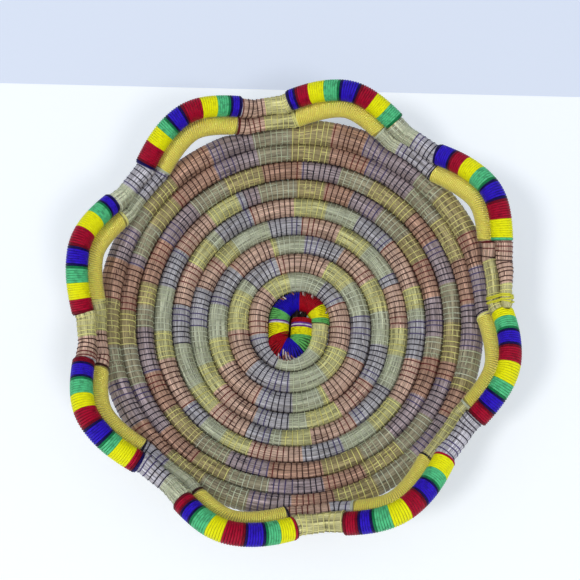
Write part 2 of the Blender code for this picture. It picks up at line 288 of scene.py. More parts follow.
# The stage, the camera and the light. The photograph is 580 pixels wide, and its focal length is in pixels.
STAGE_REACH = 8.0
STAGE_DROP = 0.0002
BACK_EDGE = 0.1872
BACK_SLOPE = 0.02236
FLOOR_COLOUR = (240, 243, 247)
BACKDROP_COLOUR = (201, 209, 227)
CAMERA_PALENESS = 0.24
PALE_GLOW = (0.88, 0.94, 1.0, 1.0)
PAPER_ROUGHNESS = 0.9
PAPER_GLOSS = 0.1
CAMERA_TILT_YAW_ROLL = (15.0, -5.77, -2.70)
CAMERA_PLACE = (0.01297, -0.14543, 0.64894)
CAMERA_RANGE = (0.01, 20)
FOCAL_PIXELS = 925
PHOTO_PIXELS = 580
SENSOR_WIDTH = 36.0
WORLD_COLOUR = (0.84, 0.91, 1.0, 1.0)
WORLD_STRENGTH = 0.56
LAMP_COLOUR = (1.0, 0.975, 0.94)
LAMPS = (("left_box", (-0.90, -0.55, 2.1), 0.40, 14.5), ("right_box", (0.80, -1.0, 2.1), 0.50, 11.5))

# The stitching thread's colours along each turn of the natural rows, as letter and count of stitches:
# r red, y yellow, g green, b blue.
COLOUR_ORDER = "rygb"
ROW_SECTIONS = (
    "y5 g7 b6 r8 y4 g6 b4 r4",
    "r4 y5 g6 b7 r7 y7 g2 b6 r9 y5 g6 b2",
    "b6 r8 y1 g5 b6 r8 y5 g6 b7 r8 y1 g5 b7 r7 y6 g3",
    "g3 b7 r7 y6 g3 b6 r8 y5 g7 b7 r6 y4 g7 b6 r7 y6 g6 b2 r8",
    "y5 g6 b8 r8 y5 g2 b4 r7 y5 g8 b7 r8 y5 g2 b7 r8 y6 g6 b7 r9 y4 g2 b1",
    "b6 r8 y6 g6 b7 r9 y5 g4 b4 r9 y5 g8 b7 r8 y6 b4 g7 y5 r5 b6 g6 y5 r7 b5",
    "b2 g4 r7 b8 g6 y7 r9 b7 g6 y7 r7 b8 g4 y4 r8 b8 g7 y7 r7 b7 g6 y9 r6 b8 g7",
    "y7 r3 b7 g7 y7 r7 b9 g7 y6 r7 b9 g7 y6 r8 b2 g6 y6 r9 b8 g6 y7 r7 b9 g7 y8 r8 b3",
    "b5 g5 y2 r5 b8 g8 y7 r7 b7 g8 y7 r7 b8 g6 y8 r7 b6 g4 y7 r8 b8 g7 y7 r6 b11 g5 y8 r6 b9",
)
# The same between whippings, after the first arch and on: the inner rim row, then the outer one.
INNER_GAPS = ("y10", "b4 r7", "g6 b4", "r6 y5", "g5 b6", "r5 y6", "g4 b7", "r3 y8")
OUTER_GAPS = ("b9", "y8", "g4 b5", "r5 y5", "g4 b5", "r5 y5", "g5 b5", "r10 y2")
# Thread turns of each colour on the banded whippings, from the first arch on.
ARCH_BANDS = (
    "y5 g7 b9 r9 y9 g8 b8 r8",
    "r1 y9 g7 b9 r9 y9 g8 b8 r7",
    "r1 y8 g8 b10 r10 y8 g8 b7 r5",
    "b1 r4 y9 g7 b9 r9 y7 g8 b9 r2",
    "r7 y8 g7 b10 r9 y9 g6 b6",
    "b1 r10 y7 g6 b7 r9 y7 g7 b5",
    "b5 r7 y8 g8 b10 r8 y8 g8",
    "b9 r7 y9 g8 b9 r9 y10 g1",
)
# The start's bands from its tip on: colour and the turn where it ends. p is purple, and w is white painted as
# the highlight in the middle of a purple band.
START_BANDS = (
    ("r", -1.035), ("p", -1.012), ("w", -0.997), ("p", -0.976), ("y", -0.905), ("g", -0.832),
    ("b", -0.715), ("r", -0.60), ("y", -0.505), ("p", -0.494), ("w", -0.485), ("p", -0.475),
    ("g", -0.405), ("b", -0.252), ("r", -0.118), ("y", -0.042), ("g", -0.012),
)

# Colours as they are seen, in the sRGB scale from 0 to 255. A band's second one is for its rounds beside
# another colour. Yellow stays even.
BAND_COLOURS = {
    "r": ((178, 6, 48), (122, 2, 30)),
    "y": ((255, 252, 10), (234, 226, 4)),
    "g": ((92, 206, 142), (18, 128, 74)),
    "b": ((50, 22, 200), (16, 4, 78)),
}
EVEN_COLOUR = "y"
# The start's w is white painted as the highlight on its purple bands.
KNOT_COLOURS = {"r": (168, 6, 26), "y": (244, 236, 10), "g": (104, 190, 100), "b": (30, 14, 178),
                "p": (112, 50, 152), "w": (222, 214, 234)}
GOLD_COLOUR = (255, 235, 94)
# How dark the painted shade in the gaps between a winding's rounds is, and the dark lengths of its thread.
BAND_PAINTED_GAP_SHADES = {"r": 0.5, "y": 0.72, "g": 0.5, "b": 0.5}
BAND_DARKS = {"r": 0.82, "y": 0.93, "g": 0.80, "b": 0.82}
KNOT_PAINTED_GAP_SHADE = 0.5
KNOT_DARK = 0.8
GOLD_PAINTED_GAP_SHADE = 0.66
GOLD_DARK = 0.97
# The stitching thread's dull colours, then its bright ones, and the dark lengths of each. Its red and blue
# are darker than the same thread in the bands, as painted shade.
STITCH_COLOURS = {"r": (64, 26, 24), "y": (232, 225, 148), "g": (200, 208, 176), "b": (28, 22, 46),
                  "R": (108, 32, 34), "Y": (244, 238, 150), "G": (214, 220, 196), "B": (74, 64, 114)}
STITCH_DARKS = {"r": (42, 16, 16), "y": (194, 184, 108), "g": (150, 158, 128), "b": (14, 12, 28),
                "R": (66, 16, 20), "Y": (208, 199, 100), "G": (164, 170, 142), "B": (38, 28, 76)}
TIE_COLOUR = (226, 222, 60)
TIE_DARK = (160, 150, 20)
# The needles under each colour of thread, in the three lots of needles from the start on.
NEEDLE_COLOURS = {
    "first": {"r": (196, 164, 146), "y": (182, 180, 128), "g": (172, 176, 152), "b": (166, 164, 170)},
    "later": {"r": (178, 140, 120), "y": (156, 142, 100), "g": (150, 142, 118), "b": (160, 144, 148)},
    "rim": {"r": (206, 170, 150), "y": (196, 190, 134), "g": (188, 190, 162), "b": (186, 182, 190)},
}
# The cut ends' dark colour is partly painted shade of the hole and the slot they lie in.
CUT_NEEDLE_AND_SHADE_COLOUR = (64, 36, 30)
SLIVER_COLOURS = {"sliver_needles": (150, 92, 84), "pale_sliver_needles": (206, 190, 192)}

# Needles: streaks and broad patches, each with its scales by length and round, detail and roughness.
STREAK_NOISE = ((48.0, 74.0, 1.0), 3.0, 0.62)
STREAK_STOPS = ((0.32, 0.36, 0.0), (0.45, 0.86, 0.0), (0.56, 1.10, 0.0), (0.68, 1.65, 0.01))
PATCH_NOISE = ((22.0, 24.0, 1.0), 2.0, 0.5)
PATCH_STRENGTH = 0.8
WHITE = (1.0, 1.0, 1.0, 1.0)
PATCH_STOPS = ((0.34, (0.60, 0.57, 0.52, 1.0)), (0.50, WHITE), (0.66, (1.22, 1.22, 1.20, 1.0)))
# Painted shade in the grooves: the needles are darkened near the row before and near the row after.
PAINTED_GROOVE_SHADE = (0.30, 0.24, 0.20, 1.0)
PAINTED_GROOVE_SHADE_STOPS = ((0.03, PAINTED_GROOVE_SHADE), (0.085, WHITE), (0.405, WHITE), (0.46, PAINTED_GROOVE_SHADE))
NEEDLE_BUMP = (0.55, 0.0004)
NEEDLE_ROUGHNESS = {"To Min": 0.72, "To Max": 0.48}
NEEDLE_GLOSS = 0.35

# Threads: length of a twist, places of the dark, plain and light colour, and how fast these change by length.
TWIST = 0.0016
STITCH_TWIST = 0.0012
THREAD_PLACES = (0.28, 0.43, 0.80)
LIGHT_SHARE = 1.15
STITCH_CHANGES = 38.0
WINDING_CHANGES = 260.0
STITCH_RELIEF = 0.00012
WINDING_RELIEF = 0.00016
GOLD_RELIEF = 0.00018
# How far each ply's slant is painted lighter and darker, as painted highlight and shade.
STITCH_PLY_PAINTED_SHADING = 0.06
WINDING_PLY_PAINTED_SHADING = 0.10
THREAD_BUMP = 0.5
SHEEN_ROUGHNESS = 0.4
# Their roughness, gloss, sheen and share of metal.
STITCH_FINISH = (0.42, 0.3, 0.03, 0.0)
BAND_FINISH = (0.36, 0.16, 0.01, 0.0)
KNOT_FINISH = (0.36, 0.14, 0.01, 0.0)
GOLD_FINISH = (0.27, 1.0, 0.30, 0.14)

random.seed(5)


def smooth_ramp(share):
    """0 below 0, 1 above 1, and level at both."""
    share = min(max(share, 0.0), 1.0)
    return share * share * (3 - 2 * share)


def natural_bundle(turn):
    """Full thickness of the bundle at a turn."""
    return np.interp(turn, (THINNING_STARTS, NATURAL_TURNS), (BASE_BUNDLE, RIM_BUNDLE))


def bowl_profile():
    """Turns, radii and heights of the bundle's middle along the whole spiral, before the arches."""
    last = NATURAL_TURNS + RIM_TURNS
    turns = np.linspace(0, last, last * PROFILE_STEPS + 1)
    middles = (turns[1:] + turns[:-1]) / 2
    advance = (natural_bundle(middles) + ROW_GAP) / PROFILE_STEPS
    slope = np.radians(np.interp(middles, SLOPE_TURNS, SLOPES))
    radii = BASE_RADIUS + np.concatenate([[0], np.cumsum(advance * np.cos(slope))])
    heights = BASE_HEIGHT + np.concatenate([[0], np.cumsum(advance * np.sin(slope))])
    return turns, radii, heights


PROFILE = bowl_profile()


def from_arches(turn):
    """Degrees clockwise from the middle of each arch, from -180 to 180."""
    middles = [FIRST_ARCH + arch * ARCH_STEP + CORNER_SHIFTS[arch] for arch in range(ARCH_COUNT)]
    return [(FULL_TURN * (turn % 1.0) - middle + 180.0) % FULL_TURN - 180.0 for middle in middles]


def arch_shape(share):
    """Height of an arch, 1 at its corner and 0 at its feet."""
    if abs(share) >= 1:
        return 0.0
    fall = math.hypot(share, SHOWN_CORNER) - SHOWN_CORNER
    return 1 - fall / (math.hypot(1, SHOWN_CORNER) - SHOWN_CORNER)


def rim_lift(turn):
    """How far a rim row stands off the row below at an arch."""
    if turn < FIRST_LIFTED_TURN:
        return 0.0
    inner_row = turn < FIRST_LIFTED_TURN + 1
    half_span = GOLD_HALF_SPAN if inner_row else BAND_HALF_SPAN
    gold_room = FIT_GAP + GOLD_THREAD
    room = gold_room if inner_row else 2 * gold_room + FIT_GAP + BAND_THREAD
    away = min(from_arches(turn), key=abs)
    fade = smooth_ramp((half_span + LIFT_GONE_OUTSIDE - abs(away)) / (LIFT_GONE_OUTSIDE + LIFT_FULL_INSIDE))
    lift = SHOWN_LIFT * arch_shape((away - ARCH_CORNER_LEAD) / (half_span + SHOWN_FOOT)) + room * fade
    return lift * smooth_ramp((LIFT_ENDS - turn) / LIFT_FADE)


def rim_sway(turn):
    """How far the handmade rim stands out from its even path at a turn."""
    place = ((turn * FULL_TURN - FIRST_ARCH + ARCH_STEP / 2) % FULL_TURN) / (ARCH_STEP / 2)
    place = min(place, len(INNER_SWAY) - 0.001)
    low = math.floor(place)
    high = (low + 1) % len(INNER_SWAY)
    share = smooth_ramp(place - low)
    inner, outer = (sway[low] + (sway[high] - sway[low]) * share for sway in (INNER_SWAY, OUTER_SWAY))
    outermost = smooth_ramp((turn - OUTER_SWAY_STARTS) / SWAY_GROWTH)
    rim = smooth_ramp((turn - INNER_SWAY_STARTS) / SWAY_GROWTH)
    return (inner + (outer - inner) * outermost) * rim * SWAY_UNIT


def hole_bulge(turn):
    """How far the last natural row bulges into the hole under an arch, and the start at its lower bend."""
    if turn < 0:
        return BEND_BULGE * smooth_ramp(1 - abs(turn - BEND_MIDDLE) / BEND_REACH)
    if not NATURAL_TURNS - 1 <= turn < NATURAL_TURNS:
        return 0.0
    arch, away = min(enumerate(from_arches(turn)), key=lambda pair: abs(pair[1]))
    away = abs(away - ARCH_CORNER_LEAD)
    return HOLE_BULGES[arch] * smooth_ramp((BULGE_GONE - away) / (BULGE_GONE - BULGE_FULL))


def start_middle(turn):
    """The middle of the bundle at a turn before 0, in the hairpin."""
    height = BASE_HEIGHT + KNOT_RISE
    if turn < -1:
        return np.array((BAR_OFFSET, BAR_RUN * (-1 - turn) / (START_TURNS - 1), height))
    half = math.floor(2 * turn)
    side, straight = (1, FAR_STRAIGHT) if half % 2 else (-1, NEAR_STRAIGHT)
    radius = BASE_RADIUS + START_PITCH * (half + 0.5) / 2
    arc = math.pi * radius
    run = (2 * turn - half) * (arc + 2 * straight)
    bend = min(max(run - straight, 0.0), arc) / radius
    outward = min(run, straight) - max(run - straight - arc, 0.0)
    across = side * (START_PITCH / 4 - radius * math.cos(bend))
    return np.array((across, side * (outward + radius * math.sin(bend)), height))


def row_middle(turn):
    """The middle of the bundle at a turn."""
    if turn < 0:
        return start_middle(turn)
    lift = rim_lift(turn)
    radius = float(np.interp(turn, PROFILE[0], PROFILE[1]))
    radius += lift * math.cos(math.radians(ARCH_LEAN)) + rim_sway(turn)
    height = float(np.interp(turn, PROFILE[0], PROFILE[2]))
    height += KNOT_RISE * smooth_ramp((KNOT_RISE_ENDS - turn) / KNOT_RISE_ENDS)
    height += lift * math.sin(math.radians(ARCH_LEAN))
    angle = -2 * math.pi * turn
    reach = float(np.interp(turn, REACH_TURNS, NEAR_REACHES if math.sin(angle) < 0 else FAR_REACHES))
    across = radius * math.cos(angle)
    along = radius * math.sin(angle) + reach * math.tanh(REACH_TIGHTNESS * math.sin(angle))
    return np.array((across, along, height))


def bundle_radius(turn):
    """Half the bundle's thickness: thin in the start whipping, full in the rows, tapered at the end."""
    full = float(natural_bundle(turn)) / 2
    first = float(np.interp(turn, (-1 / START_POINTS, 1 / ROW_POINTS), (START_BUNDLE / 2, FIRST_BUNDLE / 2)))
    growth = smooth_ramp((turn - THICKENING_STARTS) / (THICKENING_ENDS - THICKENING_STARTS))
    radius = first + (full - first) * growth
    taper = smooth_ramp((turn - LAST_TURN) * FULL_TURN / TAPER_LENGTH + 1)
    return radius + (TIP_BUNDLE / 2 - radius) * taper


def unit(vectors):
    return vectors / np.linalg.norm(vectors, axis=-1, keepdims=True)


def square_to(vectors, run):
    """Unit vectors nearest to the given ones that are square to unit directions."""
    return unit(vectors - run * (vectors * run).sum(-1, keepdims=True))


def running_length(line):
    """Length along a line up to each of its points."""
    return np.concatenate([[0], np.cumsum(np.linalg.norm(np.diff(line, axis=0), axis=1))])


def in_between(steps, known, vectors):
    """Vectors at some steps, from those at known steps."""
    return np.stack([np.interp(steps, known, vectors[:, axis]) for axis in range(3)], axis=-1)


class Path:
    """The bundle's middle line, its length along it and the directions across it, all by turn."""

    def __init__(self):
        last = LAST_TURN + TIP_BEYOND / FULL_TURN
        count = int((last + START_TURNS) * PATH_SAMPLES_PER_TURN) + 1
        self.turns = np.linspace(-START_TURNS, last, count)
        self.points = np.array([row_middle(turn) for turn in self.turns]) + AXIS
        self.lengths = running_length(self.points)
        self.radii = np.array([bundle_radius(turn) for turn in self.turns])
        self.bulges = np.array([hole_bulge(turn) for turn in self.turns])
        self.ahead = unit(np.gradient(self.points, axis=0))

    def at(self, turns, shift=0.0):
        """Middle, shifted outward, and the directions ahead, sideways outward and upward, at each turn."""
        ahead = unit(in_between(turns, self.turns, self.ahead))
        side = unit(np.cross((0.0, 0.0, 1.0), ahead))
        shift = np.broadcast_to(shift, turns.shape)[:, None]
        middle = in_between(turns, self.turns, self.points) + shift * side
        return middle, ahead, side, np.cross(ahead, side)

    def radius(self, turns):
        return np.interp(turns, self.turns, self.radii)

    def bulge(self, turns):
        return np.interp(turns, self.turns, self.bulges)

    def length(self, turns):
        return np.interp(turns, self.turns, self.lengths)

    def turn(self, lengths):
        return np.interp(lengths, self.lengths, self.turns)


PATH = Path()


def inward_angle(turns):
    """The angle in the bundle's cross-section, from outward up, that points at the row before."""
    middle, ahead, side, up = PATH.at(turns)
    before = PATH.at(np.maximum(turns - 1, -START_TURNS))[0] - middle
    angle = np.arctan2((before * up).sum(-1), (before * side).sum(-1))
    angle = np.where(angle < 0, angle + 2 * math.pi, angle)
    slope = np.radians(np.interp(turns, SLOPE_TURNS, SLOPES))
    return np.where(turns < 1.0, math.pi + slope, angle)


def grid_faces(rings, sides):
    """The quads of a tube of rings, each ring closed."""
    side = np.arange(sides)[None, :]
    following = (side + 1) % sides
    low = np.arange(rings - 1)[:, None] * sides
    high = low + sides
    return np.stack([low + side, high + side, high + following, low + following], axis=-1).reshape(-1, 4)


def ring_layout(steps, sides):
    """The length along and the share of the way round, for each point of each ring."""
    return np.stack([np.repeat(steps, sides), np.tile(np.arange(sides) / sides, len(steps))], axis=1)


def tube(line, outward, across, radii, sides, steps, stretch=1.0):
    """A tube's points, quads and layout: rings along a line, spanned by two unit directions."""
    angles = 2 * math.pi * np.arange(sides)[None, :, None] / sides
    outward = np.broadcast_to(outward, line.shape)[:, None, :]
    across = np.broadcast_to(across, line.shape)[:, None, :]
    radii = np.broadcast_to(radii, (len(line),))[:, None, None]
    places = line[:, None, :] + radii * (np.cos(angles) * outward + np.sin(angles) * across * stretch)
    return places.reshape(-1, 3), grid_faces(len(line), sides), ring_layout(steps, sides)


def thread_round_bundle(turns, angles, reach, thread, sides, shift=0.0, stretch=1.0):
    """A thread laid round the bundle at each turn and angle, its middle a reach away from the bundle's."""
    middle, ahead, side, up = PATH.at(turns, shift)
    spoke = np.cos(angles)[:, None] * side + np.sin(angles)[:, None] * up
    line = middle + np.broadcast_to(reach, turns.shape)[:, None] * spoke
    run = unit(np.gradient(line, axis=0))
    outward = square_to(spoke, run)
    radii = np.full(len(turns), thread / 2)
    radii[[0, -1]] *= THREAD_TIP
    return tube(line, outward, np.cross(run, outward), radii, sides, running_length(line), stretch)


def above_floor(strand):
    """The same tube, lifted where it would reach the floor."""
    places, faces, layout = strand
    places[:, 2] = np.maximum(places[:, 2], FLOOR_CLEARANCE)
    return places, faces, layout


def bundle_rings(lengths, radii, sides, shift=0.0, ridges=0.0):
    """Rings of points round the bundle, starting on the side away from the row before."""
    turns = PATH.turn(lengths)
    middle, ahead, side, up = PATH.at(turns, shift)
    angles = inward_angle(turns)[:, None] + math.pi + 2 * math.pi * np.arange(sides)[None, :] / sides
    wander = RIDGE_SWING * np.sin(lengths * RIDGE_DRIFTS[0])[:, None]
    wave = np.sin(RIDGE_COUNTS[0] * angles + wander)
    wave = wave * np.sin(RIDGE_COUNTS[1] * angles + lengths[:, None] * RIDGE_DRIFTS[1])
    spokes = np.cos(angles)[..., None] * side[:, None, :] + np.sin(angles)[..., None] * up[:, None, :]
    return (middle[:, None, :] + (radii[:, None] + ridges * wave)[..., None] * spokes).reshape(-1, 3)


def placed(name, data):
    """A new object in the scene."""
    piece = bpy.data.objects.new(name, data)
    bpy.context.scene.collection.objects.link(piece)
    return piece


def mesh_object(name, places, faces, tints, layout, materials):
    """A mesh of quads, with each quad's material number and each point's layout."""
    places = np.asarray(places, dtype=np.float32)
    faces = np.asarray(faces, dtype=np.int32)
    mesh = bpy.data.meshes.new(name)
    mesh.vertices.add(len(places))
    mesh.vertices.foreach_set("co", places.ravel())
    mesh.loops.add(faces.size)
    mesh.loops.foreach_set("vertex_index", faces.ravel())
    mesh.polygons.add(len(faces))
    mesh.polygons.foreach_set("loop_start", np.arange(0, faces.size, 4, dtype=np.int32))
    mesh.polygons.foreach_set("loop_total", np.full(len(faces), 4, dtype=np.int32))
    for material in materials:
        mesh.materials.append(material)
    mesh.polygons.foreach_set("material_index", np.asarray(tints, dtype=np.int32))
    mesh.polygons.foreach_set("use_smooth", np.full(len(faces), True))
    layer = mesh.uv_layers.new(name="along")
    layer.data.foreach_set("uv", np.asarray(layout, dtype=np.float32)[faces.ravel()].ravel())
    mesh.update()
    mesh.validate()
    return placed(name, mesh)


class Strands:
    """Tubes gathered for one mesh, each with the material number of its quads."""

    def __init__(self):
        self.places, self.faces, self.tints, self.layout = [], [], [], []
        self.count = 0

    def take(self, strand, tints):
        places, faces, layout = strand
        self.places.append(places)
        self.faces.append(faces + self.count)
        self.tints.append(np.broadcast_to(tints, (len(faces),)))
        self.layout.append(layout)
        self.count += len(places)

    def piece(self, name, materials):
        joined = [np.concatenate(part) for part in (self.places, self.faces, self.tints, self.layout)]
        return mesh_object(name, *joined, materials)


def linear(colour):
    """An sRGB colour, 0 to 255, as linear RGBA."""
    out = []
    for value in colour:
        share = value / 255
        out.append(share / 12.92 if share <= 0.04045 else ((share + 0.055) / 1.055) ** 2.4)
    return (*out, 1.0)


def shade(colour, share, addition=0.0):
    """A linear colour made lighter or darker."""
    return tuple(min(1.0, share * value + addition) for value in colour[:3]) + (1.0,)


def scaled(colour, share):
    return [value * share for value in colour]


def node_tree(name):
    """A new material, its nodes and its shader."""
    material = bpy.data.materials.new(name)
    material.use_nodes = True
    tree = material.node_tree
    return material, tree, tree.nodes["Principled BSDF"]


def fill(tree, node, inputs):
    """Gives a node's inputs their values, or links them to other nodes."""
    for key, value in inputs.items():
        if isinstance(value, bpy.types.NodeSocket):
            tree.links.new(value, node.inputs[key])
        else:
            node.inputs[key].default_value = value


def add(tree, kind, inputs, **settings):
    """A new node with its settings and its inputs."""
    node = tree.nodes.new(kind)
    for key, value in settings.items():
        setattr(node, key, value)
    fill(tree, node, inputs)
    return node


def maths(tree, operation, *values):
    return add(tree, "ShaderNodeMath", dict(enumerate(values)), operation=operation).outputs["Value"]


def bump(tree, height, strength, distance):
    inputs = {"Height": height, "Strength": strength, "Distance": distance}
    return add(tree, "ShaderNodeBump", inputs).outputs["Normal"]


def ramp_of(tree, source, stops):
    """A colour ramp with the given places and linear colours."""
    ramp = add(tree, "ShaderNodeValToRGB", {"Fac": source})
    elements = ramp.color_ramp.elements
    while len(elements) < len(stops):
        elements.new(0.5)
    for element, (place, colour) in zip(elements, stops):
        element.position = place
        element.color = colour
    return ramp.outputs["Color"]


def multiplied(tree, share, one, other):
    """One colour multiplied by a share of another."""
    inputs = {"Factor": share, "A": one, "B": other}
    return add(tree, "ShaderNodeMix", inputs, data_type="RGBA", blend_type="MULTIPLY").outputs["Result"]


def noise_over(tree, layout, scale, detail, roughness):
    """Noise over the layout, finer or coarser by length and by the way round."""
    place = add(tree, "ShaderNodeMapping", {"Vector": layout, "Scale": scale}).outputs["Vector"]
    inputs = {"Vector": place, "Scale": 1.0, "Detail": detail, "Roughness": roughness}
    return add(tree, "ShaderNodeTexNoise", inputs, noise_dimensions="2D").outputs["Fac"]


def needle_material(name, seen):
    """Dry needles: fine streaks, broad patches, and painted shade in the grooves between rows."""
    material, tree, shader = node_tree(name)
    layout = add(tree, "ShaderNodeUVMap", {}, uv_map="along").outputs["UV"]
    streaks = noise_over(tree, layout, *STREAK_NOISE)
    patches = ramp_of(tree, noise_over(tree, layout, *PATCH_NOISE), PATCH_STOPS)
    tints = [(place, shade(linear(seen), share, addition)) for place, share, addition in STREAK_STOPS]
    patched = multiplied(tree, PATCH_STRENGTH, ramp_of(tree, streaks, tints), patches)
    across = add(tree, "ShaderNodeSeparateXYZ", {"Vector": layout}).outputs["Y"]
    roughness = add(tree, "ShaderNodeMapRange", {"Value": streaks, **NEEDLE_ROUGHNESS})
    # The base colour is darkened near both grooves as painted shade.
    fill(tree, shader, {
        "Base Color": multiplied(tree, 1.0, patched, ramp_of(tree, across, PAINTED_GROOVE_SHADE_STOPS)),
        "Normal": bump(tree, streaks, *NEEDLE_BUMP),
        "Roughness": roughness.outputs["Result"],
        "Specular IOR Level": NEEDLE_GLOSS,
    })
    return material


def thread_material(name, colour, dark, finish, twist=TWIST, changes=STITCH_CHANGES, ply_painted_shading=STITCH_PLY_PAINTED_SHADING,
                    relief=STITCH_RELIEF):
    """Twisted thread: slanting plies with painted highlight and shade, lighter and darker lengths along it,
    and a soft gloss.
    """
    material, tree, shader = node_tree(name)
    layout = add(tree, "ShaderNodeUVMap", {}, uv_map="along").outputs["UV"]
    parts = add(tree, "ShaderNodeSeparateXYZ", {"Vector": layout})
    slant = maths(tree, "ADD", maths(tree, "MULTIPLY", parts.outputs["X"], 1.0 / twist), parts.outputs["Y"])
    plies = maths(tree, "SINE", maths(tree, "MULTIPLY", slant, 4 * math.pi))
    inputs = {"W": maths(tree, "MULTIPLY", parts.outputs["X"], changes), "Scale": 1.0, "Detail": 2.0}
    lengths = add(tree, "ShaderNodeTexNoise", inputs, noise_dimensions="1D")
    # Random lighter and darker lengths, plus painted highlight and shade along the plies.
    lift = maths(tree, "MULTIPLY_ADD", plies, ply_painted_shading, lengths.outputs["Fac"])
    colours = (linear(dark), linear(colour), shade(linear(colour), LIGHT_SHARE))
    roughness, gloss, sheen, metal = finish
    fill(tree, shader, {
        "Base Color": ramp_of(tree, lift, tuple(zip(THREAD_PLACES, colours))),
        "Normal": bump(tree, plies, THREAD_BUMP, relief),
        "Roughness": roughness,
        "Specular IOR Level": gloss,
        "Sheen Weight": sheen,
        "Sheen Roughness": SHEEN_ROUGHNESS,
        "Metallic": metal,
    })
    return material


def winding_materials(name, colours, painted_gap_shade, dark, finish, relief=WINDING_RELIEF):
    """A winding thread's materials: one for each colour of its rounds, and one of painted shade for the gaps
    between.
    """
    colours = (*colours, scaled(colours[0], painted_gap_shade))
    return [thread_material(f"{name}_{i}", colour, scaled(colour, dark), finish, changes=WINDING_CHANGES,
                            ply_painted_shading=WINDING_PLY_PAINTED_SHADING, relief=relief)
            for i, colour in enumerate(colours)]


BAND_PALETTE = {
    key: winding_materials("band_thread_" + key, colours, BAND_PAINTED_GAP_SHADES[key], BAND_DARKS[key], BAND_FINISH)
    for key, colours in BAND_COLOURS.items()
}
KNOT_PALETTE = {
    key: winding_materials("start_thread_" + key, (colour,), KNOT_PAINTED_GAP_SHADE, KNOT_DARK, KNOT_FINISH)
    for key, colour in KNOT_COLOURS.items()
}
GOLD_PALETTE = {
    "o": winding_materials("gold_thread", (GOLD_COLOUR,), GOLD_PAINTED_GAP_SHADE, GOLD_DARK, GOLD_FINISH, GOLD_RELIEF),
}
STITCH_MATERIALS = [
    thread_material("stitch_thread_" + key, colour, STITCH_DARKS[key], STITCH_FINISH, STITCH_TWIST)
    for key, colour in STITCH_COLOURS.items()
]
NEEDLE_MATERIALS = [
    needle_material(f"{lot}_needles_{key}", colours[key])
    for lot, colours in NEEDLE_COLOURS.items() for key in COLOUR_ORDER
]
CUT_NEEDLES_AND_SHADE = needle_material("cut_needles_and_shade", CUT_NEEDLE_AND_SHADE_COLOUR)
SLIVER_MATERIALS = [needle_material(name, colour) for name, colour in SLIVER_COLOURS.items()]
TIE_MATERIAL = thread_material("tie_thread", TIE_COLOUR, TIE_DARK, STITCH_FINISH)


def read_sections(text):
    return [(word[0], int(word[1:])) for word in text.split()]


def whipping_turns(row, arch, spans):
    """The turns where a whipping starts and ends."""
    first, last = spans[arch]
    return row + first / FULL_TURN, row + last / FULL_TURN


def spread(text, first, last):
    """A text of sections laid out evenly by stitches between two lengths along the bundle."""
    cells = read_sections(text)
    total = sum(count for _, count in cells)
    out, done = [], 0
    for colour, count in cells:
        start = first + (last - first) * done / total
        done += count
        out.append((colour, count, start, first + (last - first) * done / total))
    return out


def stitched_sections():
    """Every section of the stitching: its colour, its stitches, and the lengths where it starts and ends."""
    starts, ends = [START_ENDS, *range(1, NATURAL_TURNS)], [*range(1, NATURAL_TURNS)]
    for row, spans in WHIPPINGS:
        for arch in range(ARCH_COUNT):
            first, last = whipping_turns(row, arch, spans)
            ends.append(first)
            starts.append(last)
    ends.append(LAST_TURN)
    sections = []
    for text, first, last in zip((*ROW_SECTIONS, *INNER_GAPS, *OUTER_GAPS), starts, ends):
        sections += spread(text, PATH.length(first), PATH.length(last))
    return sections


SECTIONS = stitched_sections()


def colour_at(lengths):
    """The number of the section's colour at each length along the bundle."""
    starts = [first for _, _, first, _ in SECTIONS]
    keys = np.array([COLOUR_ORDER.index(colour) for colour, _, _, _ in SECTIONS])
    return keys[np.clip(np.searchsorted(starts, lengths, side="right") - 1, 0, len(SECTIONS) - 1)]


def from_whipping(turns):
    """Degrees from the nearest whipping's end, 0 inside a whipping."""
    away = np.full(len(turns), FULL_TURN)
    for row, spans in WHIPPINGS:
        degrees = (turns - row) * FULL_TURN
        for first, last in spans:
            away = np.minimum(away, np.maximum(np.maximum(first - degrees, degrees - last), 0.0))
    return away


def whipped(turns):
    """Whether thread is wound solid round the bundle at each turn."""
    return (turns < START_ENDS + START_MARGIN) | (from_whipping(turns) <= 0)


def beside_whippings(turns, first_turn, amounts):
    """An amount for the inner and one for the outer rim row, which fade away from each whipping's ends."""
    near = np.clip(1 - from_whipping(turns) / END_GAP_DEGREES, 0, 1) * (turns > first_turn)
    return near * np.where(turns > OUTER_ROW_STARTS, amounts[1], amounts[0])


def shown_radius(turns):
    """The bundle's radius as it is shown between stitches."""
    swell = np.interp(turns, SWELL_TURNS, SWELLS) + beside_whippings(turns, END_SWELLS_START, END_SWELLS)
    return PATH.radius(turns) + np.where(whipped(turns), 0.0, swell) + PATH.bulge(turns) / 2


def shown_shift(turns):
    """How far outward the shown bundle's middle is moved."""
    shift = np.interp(turns, SHIFT_TURNS, SHIFTS) + beside_whippings(turns, END_SHIFTS_START, END_SHIFTS)
    return np.where(whipped(turns), 0.0, shift) + PATH.bulge(turns) / 2


def close_ends(piece, sides):
    """Closes a tube's open ends with a fan round a middle point."""
    work = bmesh.new()
    work.from_mesh(piece.data)
    work.verts.ensure_lookup_table()
    last = len(work.verts) - sides
    rings = [[work.verts[i] for i in ring] for ring in (range(sides), range(last, last + sides))]
    for corners in rings:
        middle = work.verts.new(sum((corner.co for corner in corners), Vector()) / sides)
        for one, other in zip(corners, corners[1:] + corners[:1]):
            face = work.faces.new((one, other, middle))
            face.material_index = corners[0].link_faces[0].material_index
    bmesh.ops.recalc_face_normals(work, faces=work.faces)
    work.to_mesh(piece.data)
    work.free()


